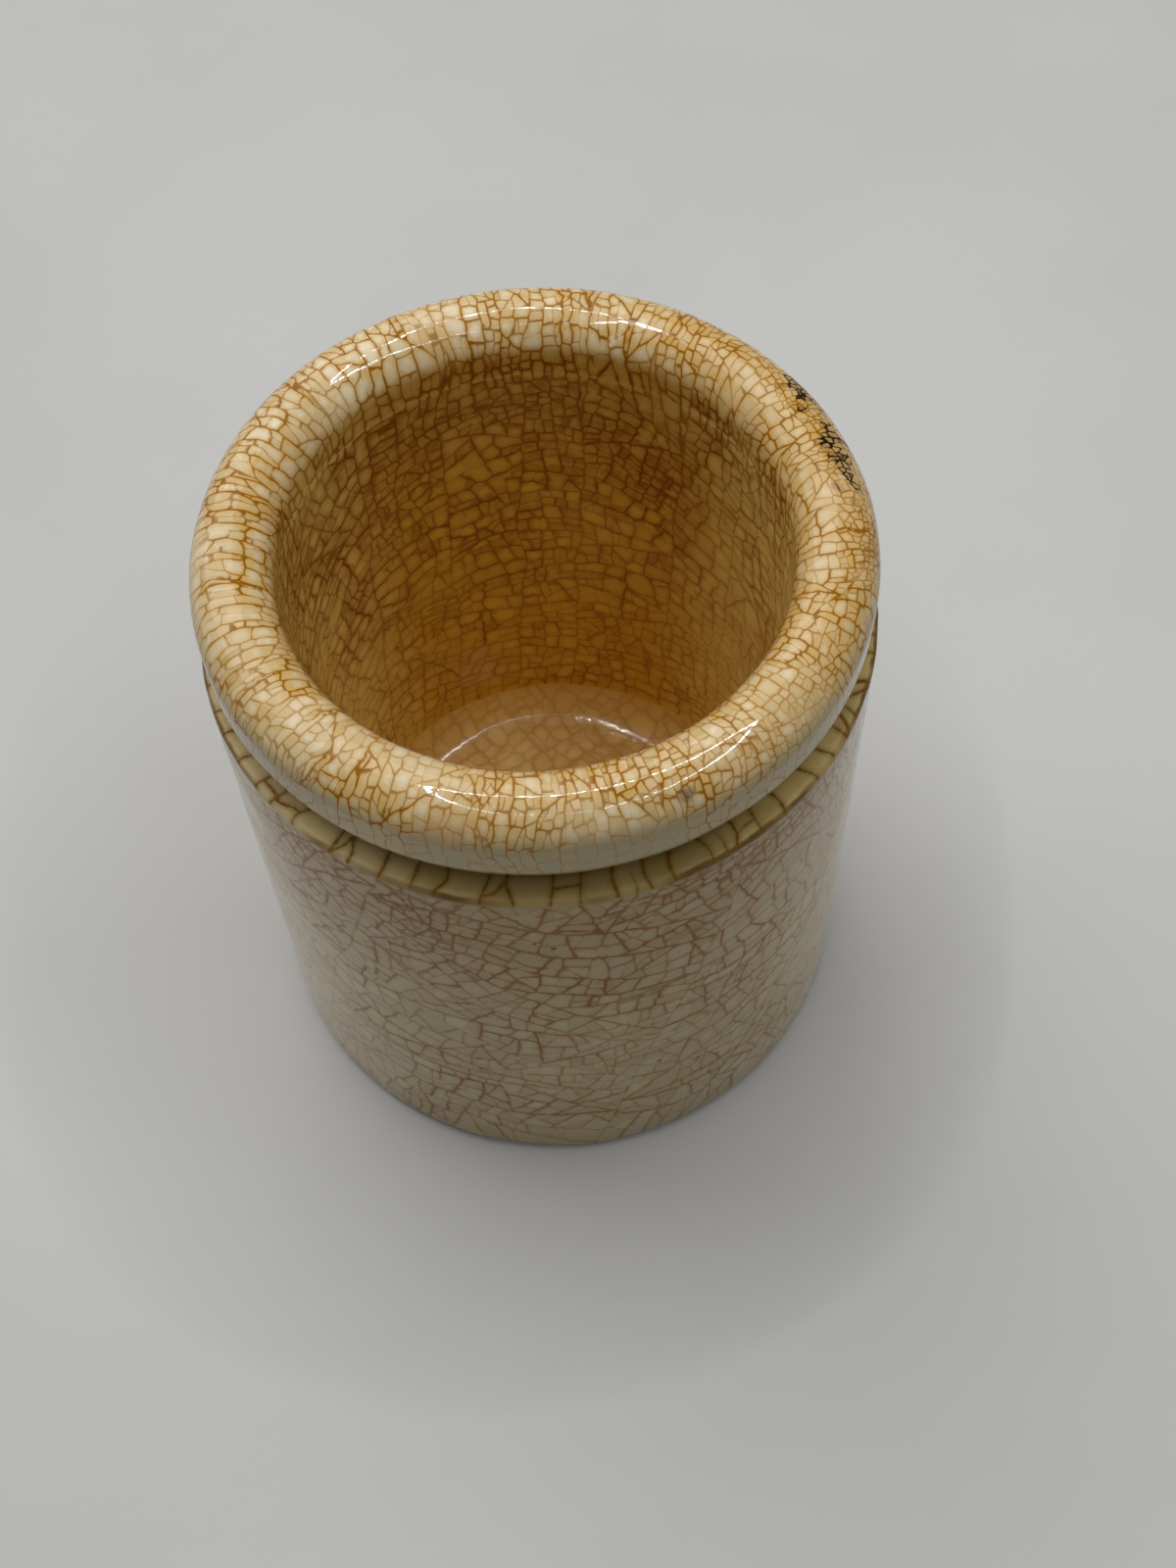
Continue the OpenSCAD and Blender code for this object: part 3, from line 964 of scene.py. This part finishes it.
def rim_and_inside():
    round_r = 33.0
    period, S = TAU * round_r, RIM.length

    def radius(v):
        return float(RIM.at(np.array([v]))[0][0])

    table = [radius(0.1 * k) for k in range(int(S * 10) + 2)]

    def scale(v):
        return table[min(len(table) - 1, max(0, int(v * 10)))] / round_r

    sway, size = waves(41, 60, 24, 0.16, period), waves(42, 30, 12, 0.28, period)

    def target(u, v, whole):
        th = math.degrees(u / round_r)
        k = scale(v)
        if v > RIM_END + 1:
            left, down = float(near(th, 178, 55)), float(smooth(RIM_END, RIM_END + 40, v))
            area, aspect, tilt, wild = 3.9 + 0.3 * left + 1.0 * down, 0.85 + 0.15 * left, 0.55 * left, 0.45
        else:
            right, front, back, left = (float(near(th, c, w)) for c, w in ((-12, 75), (-95, 65), (100, 70), (182, 62)))
            all_four = max(1e-6, right + front + back + left)
            # each side has its own cells: on the outer side of the roll, on its crown and on its inner side
            side = 1 - float(smooth(8.0, 10.8, v))
            inner = float(smooth(CROWN - 1.0, CROWN + 2.2, v))
            crown = max(0.0, 1 - side - inner)
            rows = ((right, (4.4, 0.32, 0.1), (1.0, 0.95, 1.0), (2.3, 0.60, 0.35)), (front, (6.4, 0.52, 0.25), (1.9, 0.60, 0.6), (2.4, 0.32, 0.12)),
                    (back, (3.8, 0.60, 0.4), (2.7, 0.65, 0.45), (3.4, 0.50, 0.2)), (left, (4.2, 0.40, 0.15), (3.2, 0.40, 0.1), (3.4, 0.38, 0.15)))
            area, aspect, wild = (sum(w * (side * a[k] + crown * b[k] + inner * c[k]) for w, a, b, c in rows) / all_four for k in range(3))
            low = 1 - float(smooth(3.0, 5.5, v))
            area, aspect = area + (8.6 - area) * low, aspect + (0.95 - aspect) * low
            # the long cracks climb over the roll first
            aspect *= 1 - 0.7 * float(smooth(6, 60, whole)) * (1 - 0.5 * crown * right)
            tilt = 0.0
        area *= math.exp(float(size(u, v)))
        if 9.5 < v < 16.5 and 3 < th < 33:
            area, wild = min(area, 0.9), 1.0
        return area / k, aspect / (k * k), tilt + float(sway(u, v)), wild

    net = Crackle(88, period).band(S, 16, 5.0, strength=0.8)
    net.shatter(target, gap=0.12, spread=0.26, faint=0.15, ends=0.13, level=(0.84, 0.15), young=lambda u, v: 0.62 if v < RIM_END - 3 else 0.9)
    patch = waves(43, 26, 8, 0.28, period)

    def share(u, v):
        th = math.degrees(u / round_r)
        if v < RIM_END - 5:
            level = 0.96 + float(patch(u, v)) - 0.13 * float(near(th, -95, 45)) + 0.08 * float(near(th, 45, 70)) + 0.14 * float(near(th, 105, 50))
        else:
            down = float(smooth(RIM_END + 12, RIM_END + 50, v))
            level = 1.04 + 0.5 * float(patch(u, v)) - 0.28 * down - 0.1 * float(near(th, 178, 55)) - 0.32 * float(near(th, -5, 62)) * float(smooth(RIM_END - 5, RIM_END + 10, v))
        return min(1.15, max(0.5, level))

    net.fade(share)
    net.relax(lambda u, v: 0.15, lambda u, v: v < 0.01 or v > S - 0.01)
    net.level(RIM_END)
    a, b = waves(11, 17, 9, 0.45, period), waves(12, 17, 9, 0.45, period)
    c, d = waves(13, 3.2, 1.5, 0.11, period), waves(14, 3.2, 1.5, 0.11, period)

    def warp(u, v):
        fade = smooth(0, 3, np.minimum(np.minimum(v, S - v), np.abs(v - RIM_END)))
        return (u + a(u, v) + c(u, v)) % period, v + (b(u, v) + d(u, v)) * fade

    place = band_surface(RIM, round_r, waves(15, 20, 7, 0.035, period, 16))
    rng = random.Random(9)

    def shade_rim(t, base):
        crown = t.attr("crown")
        base = t.mix(t.math("MULTIPLY", t.attr("warm"), 0.36), base, (0.64, 0.43, 0.175))
        base = t.mix(t.math("MULTIPLY", t.attr("far"), 0.4), base, (0.93, 0.82, 0.57))
        # painted shade: the roll's outer side, away from the crown, gets a darker colour
        base = t.mix(t.ramp(crown, 0.75, 0.15), base, (0.37, 0.315, 0.165))
        # the mouth takes the inner glaze's amber, with painted light making it lighter on the left and right sides
        base = t.mix(t.ramp(t.attr("mouth"), 0.1, 0.9), base, t.mix(t.math("MULTIPLY", t.attr("painted_light_sides"), 0.8), (0.66, 0.44, 0.100), (0.97, 0.82, 0.275)))
        pink = t.math("MULTIPLY", t.ramp(crown, 0.55, 1.0), t.ramp(t.noise(11.0, 2.0, 0.5, 6.0), 0.42, 0.62))
        return t.mix(t.math("MULTIPLY", pink, 0.3), base, (0.72, 0.51, 0.26))

    def marks(t, base):
        base = t.mix(t.math("MULTIPLY", t.spot((13.4, -34.05, 85.69), 0.2, 1.5, 1.2), 0.62), base, (0.10, 0.085, 0.06))
        base = t.mix(t.math("MULTIPLY", t.stroke((8.76, -34.03, 86.64), (12.6, -34.2, 85.85), 0.02, 0.10), 0.6), base, (0.16, 0.13, 0.09))
        for at, r, k in (((-11.6, -35.6, 84.6), 3.4, 0.42), ((-13.6, -34.6, 85.0), 2.2, 0.35), ((-8.9, -35.9, 85.2), 2.4, 0.3)):
            base = t.mix(t.math("MULTIPLY", t.spot(at, 0.2, r, 3.2), k), base, (0.52, 0.30, 0.11))
        return base

    def shade_inside(t, base):
        deep = t.attr("deep")
        base = t.mix(t.ramp(deep, 0.0, 0.3), (0.66, 0.44, 0.100), base)
        base = t.mix(t.ramp(deep, 0.3, 0.9, 0.0, 0.5), base, (0.74, 0.415, 0.022))
        # painted light: the inner wall gets a lighter colour on its left and right sides than at front and back
        return t.mix(t.math("MULTIPLY", t.attr("painted_light_sides"), 0.8), base, (0.97, 0.82, 0.275))

    def inward(a, b):
        """One colour on the roll, changing to another down the mouth."""
        return lambda t: t.mix(t.ramp(t.attr("mouth"), 0.1, 1.0), a, b)

    rim_mat = glaze("rim_glaze", pale=(0.82, 0.705, 0.49), dark=(0.65, 0.515, 0.285), crack=inward((0.29, 0.11, 0.006), (0.25, 0.075, 0.003)),
                    halo=inward((0.61, 0.345, 0.050), (0.46, 0.19, 0.010)), blotch=inward((0.62, 0.41, 0.15), (0.56, 0.27, 0.03)),
                    core=(0.03, 0.14), core_max=1.0, halo_w=0.72, halo_max=lambda t: t.math("MULTIPLY", t.ramp(t.attr("mouth"), 0.2, 1.0, 0.9, 0.6), t.ramp(t.math("MAXIMUM", t.attr("crown"), t.attr("mouth")), 0.05, 0.6, 0.35, 1.0)), blotch_size=10.0, blotch_max=0.34,
                    zone=shade_rim, soot=True, extra=marks, specks=0.03, shine=0.01, peel=0.015,
                    rough=lambda t: t.ramp(t.attr("mouth"), 0.2, 1.0, 0.016, 0.13), thick=lambda t: t.ramp(t.attr("mouth"), 0.2, 1.0, 1.0, 1.85))
    in_mat = glaze("inner_wall_glaze", pale=(0.76, 0.485, 0.050), dark=(0.66, 0.39, 0.034), crack=(0.25, 0.075, 0.003), halo=(0.46, 0.19, 0.010),
                   blotch=(0.50, 0.245, 0.027), core=(0.055, 0.29), core_max=0.9, halo_w=1.1, halo_max=0.6, blotch_size=16.0, blotch_max=0.5,
                   zone=shade_inside, specks=0.04, rough=0.14, spec=0.27)
    for name, node, keep, lo, hi, rows, mat, h in (
            ("rim_glaze_crazed", "rim_glaze", lambda v: v < RIM_END, 0.0, RIM_END, 3, rim_mat, 0.8),
            ("inner_wall_glaze_crazed", "inner_wall_glaze", lambda v: v > RIM_END, RIM_END, S, 2, in_mat, 1.6)):
        strip_uv, back = strips(period, hi - lo, rows)
        to_uv = (lambda f, lo: lambda mx, s: f(mx, (s[0], s[1] - lo)))(strip_uv, lo)
        coat = cells_to_coat(name, net, keep, warp, scale, to_uv, 21, step=0.7, inset=0.22, spacing=lambda v: h, pillow=0.006, tip=0.0015)
        u, v = np.array(coat.u), np.array(coat.v)
        p, n, tu, tv = place(u, v, coat.lift)
        th = np.degrees(u / round_r) % 360
        extras = []
        if node == "rim_glaze":
            extras.append(("crown", 1 - smooth(2.5, 9.0, np.abs(v - CROWN - 0.6)), 0.0))
            extras.append(("mouth", smooth(CROWN + 4.0, CROWN + 8.6, v), 0.0))
            extras.append(("warm", near(th, 15, 78), 0.0))
            extras.append(("far", near(th, 100, 50), 0.0))
            # mask for the painted light on the left and right sides of the mouth
            extras.append(("painted_light_sides", smooth(0.5, 0.97, np.abs(np.cos(np.radians(th)))), 0.0))
            off = np.full(len(u), 99.0)
            for (t0, v0), (t1, v1) in zip(SOOT_PATH, SOOT_PATH[1:]):
                m = 35.5 * math.pi / 180
                ax, ay, bx, by = t0 * m, v0, t1 * m, v1
                px, py = th * m, v
                w = np.clip(((px - ax) * (bx - ax) + (py - ay) * (by - ay)) / ((bx - ax) ** 2 + (by - ay) ** 2), 0, 1)
                off = np.minimum(off, np.hypot(px - ax - w * (bx - ax), py - ay - w * (by - ay)))
            patch = waves(51, 3.5, 1.6, 0.9, period)(u, v)
            gap = 1 - 0.9 * near(th, 21.5, 2.4)
            black = (1.45 - off + patch + 0.55 * near(th, 14.5, 5)) * 1.3 * gap * (off < 2.6)
            extras.append(("soot", np.clip(black, 0, 1) + smooth(3.0, 4.0, black), 0.0))
        else:
            extras.append(("deep", (v - RIM_END) / (S - RIM_END), 0.5))
            # mask for the painted light on the left and right sides of the inner wall
            extras.append(("painted_light_sides", smooth(0.5, 0.97, np.abs(np.cos(np.radians(th)))), 0.0))
        grid = ([0.5, 1.2] + [k * 1.0 for k in range(2, 25)] + [25.2]) if lo == 0 else [lo + (S - lo) * k / 6 for k in range(1, 6)]
        pts, faces, uvs = close_band(coat, place, lo, hi, period, grid, 110, back)
        made[node] = build(coat, p, tilted(n, tu, tv, coat.tilt), pts, faces, uvs, mat, extras)


# ---------------------------------------------------------------------------
# Groove under the rim
# ---------------------------------------------------------------------------
def groove():
    round_r = 36.5
    period, S = TAU * round_r, GROOVE.length
    net = Crackle(23, period).band(S, 66, 0.3, loose=0.5, strength=0.95)
    r = net.rng
    for c in range(len(net.cells)):
        q = net.outline(net.cells[c])
        mx, my = sum(x for x, _ in q) / len(q), sum(y for _, y in q) / len(q)
        pick = r.random()
        s = r.uniform(0.5, 0.95)
        if pick < 0.16:
            a = r.uniform(0.5, 1.1) * r.choice((-1, 1))
            net.cut(c, mx, 2.2, math.sin(a), math.cos(a), (s, s), 0.25)
        elif pick < 0.28:
            net.cut(c, mx + r.uniform(-0.5, 0.5), my, 1.0, r.uniform(-0.3, 0.3), (s, -0.4), 0.25)
        elif pick < 0.34:
            net.cut(c, mx, r.uniform(1.6, 2.8), r.uniform(-0.2, 0.2), 1.0, (s, s), 0.25)
        elif pick < 0.60:
            side = r.choice((-1, 1))
            net.cut(c, mx + side * r.uniform(0.7, 1.1), r.uniform(4.0, 5.0), side * r.uniform(0.5, 0.9), 1.0, (s * 0.9, s * 0.9), 0.25)
    c, d = waves(63, 9, 3.5, 0.42, period), waves(64, 6, 2.4, 0.2, period)

    def warp(u, v):
        return (u + c(u, v)) % period, v + d(u, v) * smooth(0, 0.8, np.minimum(v, S - v))

    to_uv, back = strips(period, S, 5, 2.5, 8.0)
    coat = cells_to_coat("groove_glaze_crazed", net, lambda v: True, warp, lambda v: 1.0, to_uv, 6, step=0.28, inset=0.3, spacing=lambda v: 0.36, pillow=0.05, tip=0.01, groove=0.03)
    place = band_surface(GROOVE, round_r, waves(65, 9, 3.5, 0.05, period, 16))
    p, n, tu, tv = place(coat.u, coat.v, coat.lift)

    def zone(t, base):
        base = t.mix(t.math("MULTIPLY", t.attr("left"), 0.65), base, (0.76, 0.61, 0.33))
        base = t.mix(t.math("MULTIPLY", t.attr("right"), 0.55), base, (0.80, 0.60, 0.23))
        # painted shade: the inner part of the ledge and the cove under the roll get a darker colour
        base = t.mix(t.ramp(t.attr("rise"), 2.6, 5.8, 0.0, 0.7), base, (0.19, 0.10, 0.024))
        edge = t.math("ADD", t.attr("rise"), t.math("MULTIPLY", t.math("SUBTRACT", t.noise(1.9, 1.0, 0.5, 13.0), 0.5), 0.55))
        return t.mix(t.math("MULTIPLY", t.attr("hem"), t.ramp(edge, 1.0, 0.6, 0.0, 0.9)), base, (0.13, 0.055, 0.009))

    # the wide dark halo round each cell is partly stain along the cracks and partly painted shade at the edges of the
    # domed cells
    mat = glaze("groove_glaze", pale=(0.45, 0.34, 0.145), dark=(0.37, 0.268, 0.098), crack=(0.19, 0.085, 0.008), halo=(0.28, 0.16, 0.025),
                blotch=(0.33, 0.21, 0.065), core=(0.06, 0.25), core_max=0.95, halo_w=1.1, halo_max=0.65, blotch_size=9.0, blotch_max=0.5, zone=zone, specks=0.06, rough=0.42, spec=0.16)
    pts, faces, uvs = close_band(coat, place, 0.0, S, period, [0.3, 0.62, 0.95, 1.26, 2.1, 2.9, 3.65, 4.05, 4.45, 4.85, 5.25, 5.65, 6.15], 90, back)
    made["groove_glaze"] = build(coat, p, tilted(n, tu, tv, coat.tilt), pts, faces, uvs, mat,
                                 [("rise", np.array(coat.v), 4.2), ("hem", hem(np.array(coat.u) / round_r), 0.0),
                                  ("left", near(np.degrees(np.array(coat.u) / round_r), -165, 62), 0.0), ("right", near(np.degrees(np.array(coat.u) / round_r), -25, 45), 0.0)])


# ---------------------------------------------------------------------------
# Inside bottom
# ---------------------------------------------------------------------------
def inside_bottom():
    flat_r = MOUTH_R - FILLET
    edge = flat_r + FILLET * math.pi / 2
    net = Crackle(57).disc(edge, 120)
    size = waves(71, 24, 10, 0.3)
    net.shatter(lambda x, y, whole: (5.2 * math.exp(float(size(x, y))), 1.0, 0.6, 0.35), spread=0.28, faint=0.12, ends=0.1, level=(0.78, 0.14))
    net.relax(lambda u, v: 0.22, lambda u, v: math.hypot(u, v) > edge - 0.02)
    a, b = waves(72, 14, 6, 0.6), waves(73, 14, 6, 0.6)

    def warp(x, y):
        rho = np.hypot(x, y)
        fade = 1 - smooth(edge - 4, edge - 0.2, rho)
        rim = rho > edge * math.cos(math.pi / 120) - 1e-6
        x, y = x + a(x, y) * fade, y + b(x, y) * fade
        k = np.where(rim, edge / np.maximum(rho, 1e-9), 1.0)
        return x * k, y * k

    def to_uv(mx, s):
        return (0.5 + s[0] / (2.06 * edge), 0.5 + s[1] / (2.06 * edge))

    coat = cells_to_coat("floor_glaze_crazed", net, lambda v: True, warp, lambda v: 1.0, to_uv, 8, spacing=lambda v: 1.2)
    wob = waves(74, 16, 7, 0.04, None, 16)

    def place(x, y, lift):
        x, y = np.asarray(x, float), np.asarray(y, float)
        rho = np.maximum(np.hypot(x, y), 1e-9)
        ca, sa = x / rho, y / rho
        t = np.clip((rho - flat_r) / FILLET, 0, math.pi / 2)
        r = np.where(rho > flat_r, flat_r + FILLET * np.sin(t), rho)
        z = FLOOR_Z + FILLET * (1 - np.cos(t))
        n = np.stack([-np.sin(t) * ca, -np.sin(t) * sa, np.cos(t)], -1)
        tu = np.stack([np.ones_like(x), 0 * x, 0 * x], -1)
        tv = np.stack([0 * x, np.ones_like(x), 0 * x], -1)
        h, e = wob(x, y), 0.05
        p = np.stack([r * ca, r * sa, z], -1) + n * (h * (1 - smooth(edge - 3, edge, rho)) + np.asarray(lift, float))[:, None]
        n = n - tu * ((wob(x + e, y) - h) / e)[:, None] - tv * ((wob(x, y + e) - h) / e)[:, None]
        return p, n, tu, tv

    p, n, tu, tv = place(coat.u, coat.v, coat.lift)

    def zone(t, base):
        return t.mix(t.ramp(t.attr("off"), 0.62, 1.0, 0.0, 0.6), base, (0.72, 0.40, 0.08))

    mat = glaze("floor_glaze", pale=(0.95, 0.74, 0.31), dark=(0.88, 0.645, 0.24), crack=(0.58, 0.30, 0.06), halo=(0.70, 0.42, 0.12),
                blotch=(0.76, 0.48, 0.15), core=(0.04, 0.42), core_max=0.7, halo_w=1.3, halo_max=0.5, zone=zone, specks=0.05, rough=0.09)
    pts, faces, uvs, base = [], [], [], len(coat.u)

    def back(x, y):
        return (0.004 + 0.13 * x, 0.004 + 0.13 * y)

    def below(ang, rho):
        x, y = rho * np.cos(ang), rho * np.sin(ang)
        q, m, _, _ = place(x, y, np.zeros(len(x)))
        return q - m / np.linalg.norm(m, axis=1, keepdims=True) * COAT

    loop = sorted((math.atan2(coat.v[i], coat.u[i]) % TAU, i) for i in coat.border)
    under = [(t, base + k) for k, (t, _) in enumerate(loop)]
    pts.extend(below(np.array([t for t, _ in loop]), np.full(len(loop), edge)).tolist())
    m = len(loop)

    def polar(t, rho):
        return back(0.5 + 0.5 * rho / (edge + 1) * math.cos(t), 0.5 + 0.5 * rho / (edge + 1) * math.sin(t))

    for k in range(m):
        j = (k + 1) % m
        faces.append((loop[j][1], loop[k][1], under[k][1], under[j][1]))
        uvs += [polar(loop[j][0], edge + 1), polar(loop[k][0], edge + 1), polar(loop[k][0], edge), polar(loop[j][0], edge)]
    rows, turn = [(edge, under)], [TAU * k / 72 for k in range(72)]
    for rho in (30.2, 28.6, 27.0, 25.4, 23.7, 15.0, 6.0):
        start = base + len(pts)
        pts.extend(below(np.array(turn), np.full(72, rho)).tolist())
        rows.append((rho, [(t, start + k) for k, t in enumerate(turn)]))
    for (ra, low), (rb, high) in zip(rows, rows[1:]):
        here = {i: (t, ra) for t, i in low}
        here.update({i: (t, rb) for t, i in high})
        for f in zipper(low, high, TAU):
            f = f[::-1]
            faces.append(f)
            uvs += [polar(*here[i]) for i in f]
    pts.extend(below(np.array([0.0]), np.array([1e-6])).tolist())
    mid = base + len(pts) - 1
    for k in range(72):
        f = (rows[-1][1][(k + 1) % 72][1], rows[-1][1][k][1], mid)
        faces.append(f)
        uvs += [polar(turn[(k + 1) % 72], 6.0), polar(turn[k], 6.0), polar(0.0, 0.0)]
    far = np.hypot(np.array(coat.u), np.array(coat.v)) / edge
    made["floor_glaze"] = build(coat, p, tilted(n, tu, tv, coat.tilt), np.array(pts), faces, uvs, mat, [("off", far, 0.5)])


outer_wall()
rim_and_inside()
groove()
inside_bottom()
for node, obj in made.items():
    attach(obj, "root")
    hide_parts(node)

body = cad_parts["stoneware_body"]
clay = clay_material()
for k in range(max(1, len(body.data.materials))):
    if k < len(body.data.materials):
        body.data.materials[k] = clay
    else:
        body.data.materials.append(clay)

# ---------------------------------------------------------------------------
# Floor, lights, camera
# ---------------------------------------------------------------------------
scene = bpy.context.scene


def backdrop():
    """A wide pale floor that curves up into a low wall all round."""
    rings = [(0.0, 0.0), (0.3, 0.0), (0.7, 0.0), (1.1, 0.0)] + [
        (1.1 + 0.7 * math.sin(a), 0.7 - 0.7 * math.cos(a)) for a in [math.pi / 2 * k / 12 for k in range(1, 13)]] + [(1.8, 1.2), (1.8, 2.0)]
    cols, verts, faces = 96, [(0.0, 0.0, 0.0)], []
    for r, z in rings[1:]:
        verts += [(r * math.cos(TAU * k / cols), r * math.sin(TAU * k / cols), z) for k in range(cols)]
    for k in range(cols):
        faces.append((0, 1 + k, 1 + (k + 1) % cols))
    for row in range(len(rings) - 2):
        a, b = 1 + row * cols, 1 + (row + 1) * cols
        for k in range(cols):
            faces.append((a + k, b + k, b + (k + 1) % cols, a + (k + 1) % cols))
    mesh = bpy.data.meshes.new("studio_floor")
    mesh.from_pydata(verts, [], faces)
    mesh.polygons.foreach_set("use_smooth", np.ones(len(faces), bool))
    mesh.update()
    t = Nodes("studio_floor")
    t.put(t.shader.inputs["Base Color"], t.mix(t.ramp(t.noise(60.0, 3.0, 0.5, 1.0), 0.3, 0.7), (0.61, 0.61, 0.60), (0.64, 0.64, 0.63)))
    t.shader.inputs["Roughness"].default_value = 0.75
    mesh.materials.append(t.mat)
    obj = bpy.data.objects.new("studio_floor", mesh)
    scene.collection.objects.link(obj)


backdrop()


RING, TOP, BACK, AMBIENT = 2.05, 4.2, 7.0, 0.11


def lamp(name, at, size, power, spread=180.0, shape="DISK", aim=(0.0, 0.0, 0.05), colour=(1.0, 1.0, 1.0)):
    data = bpy.data.lights.new(name, "AREA")
    data.shape, data.size, data.energy, data.spread, data.color = shape, size, power, math.radians(spread), colour
    obj = bpy.data.objects.new(name, data)
    scene.collection.objects.link(obj)
    back = Matrix.Translation(at).translation - Matrix.Translation(aim).translation
    obj.rotation_mode = "QUATERNION"
    obj.rotation_quaternion = back.to_track_quat("Z", "Y")
    obj.location = at
    obj.visible_camera = False
    return obj


# a ring of small lamps overhead, as the dotted highlights on the rim show
SIDES, DOTS, HIGH = 12, 6, 0.55
grow = (HIGH - 0.087) / 0.313


def ring_point(turn):
    a = TAU * turn / SIDES
    c, s = math.cos(a), math.sin(a)
    m = (abs(c) ** 3.0 + abs(s) ** 3.0) ** (-1 / 3.0)
    return (0.032 + 0.115 * c * m) * grow, (-0.042 + 0.150 * s * m) * grow


corners = [ring_point(k + 0.5) for k in range(SIDES)]
around = sum(math.dist(corners[k], corners[k - 1]) for k in range(SIDES))
for k in range(SIDES):
    (x0, y0), (x1, y1) = corners[k - 1], corners[k]
    long = math.dist((x0, y0), (x1, y1))
    weight = 0.45 + 0.55 * float(smooth(-0.7, 0.3, math.sin(TAU * k / SIDES))) - 0.35 * float(near(360.0 * k / SIDES, 235, 60))
    for dot in range(DOTS):
        w = (dot + 0.5) / DOTS
        at = (x0 + (x1 - x0) * w, y0 + (y1 - y0) * w, HIGH)
        small = lamp("ring_%02d_%d" % (k, dot), at, long / DOTS * 0.5, RING * long / around * weight / DOTS, shape="RECTANGLE", aim=(at[0], at[1], 0.0))
        small.data.size_y = 0.009
        small.rotation_mode = "XYZ"
        small.rotation_euler = (0.0, 0.0, math.atan2(y1 - y0, x1 - x0))
# soft light from the tent's top and back
lamp("top_soft", (0.0, 0.1, 1.7), 2.4, TOP, aim=(0.0, 0.1, 0.0))
lamp("back_soft", (-0.55, 0.82, 0.95), 1.5, BACK, aim=(-0.05, 0.3, 0.0))

world = bpy.data.worlds.new("studio")
scene.world = world
world.use_nodes = True
world.node_tree.nodes["Background"].inputs[0].default_value = (1.0, 0.99, 0.97, 1.0)
world.node_tree.nodes["Background"].inputs[1].default_value = AMBIENT

FOCAL, IMAGE_H = 2062.42, 1600.0
D, E, YAW, PITCH, ROLL = 7.74943 * 38.0, 1.093065, 0.017599, 0.054304, -0.079193
eye = np.array((0.0, -D * math.cos(E), D * math.sin(E)))
fw = -eye / np.linalg.norm(eye)
right = np.array((1.0, 0.0, 0.0))
up = np.cross(right, fw)
fw, right = fw * math.cos(YAW) + right * math.sin(YAW), right * math.cos(YAW) - fw * math.sin(YAW)
fw, up = fw * math.cos(PITCH) + up * math.sin(PITCH), up * math.cos(PITCH) - fw * math.sin(PITCH)
right, up = right * math.cos(ROLL) + up * math.sin(ROLL), up * math.cos(ROLL) - right * math.sin(ROLL)
cam = bpy.data.cameras.new("camera")
cam.sensor_fit, cam.sensor_width, cam.lens = "AUTO", 36.0, FOCAL / IMAGE_H * 36.0
cam.clip_start, cam.clip_end = 0.01, 20.0
shot = bpy.data.objects.new("camera", cam)
scene.collection.objects.link(shot)
pose = Matrix.Identity(4)
for row in range(3):
    pose[row][0], pose[row][1], pose[row][2], pose[row][3] = right[row], up[row], -fw[row], eye[row] * MM
shot.matrix_world = pose
scene.camera = shot
scene.view_settings.view_transform = "Standard"

bpy.context.view_layer.update()
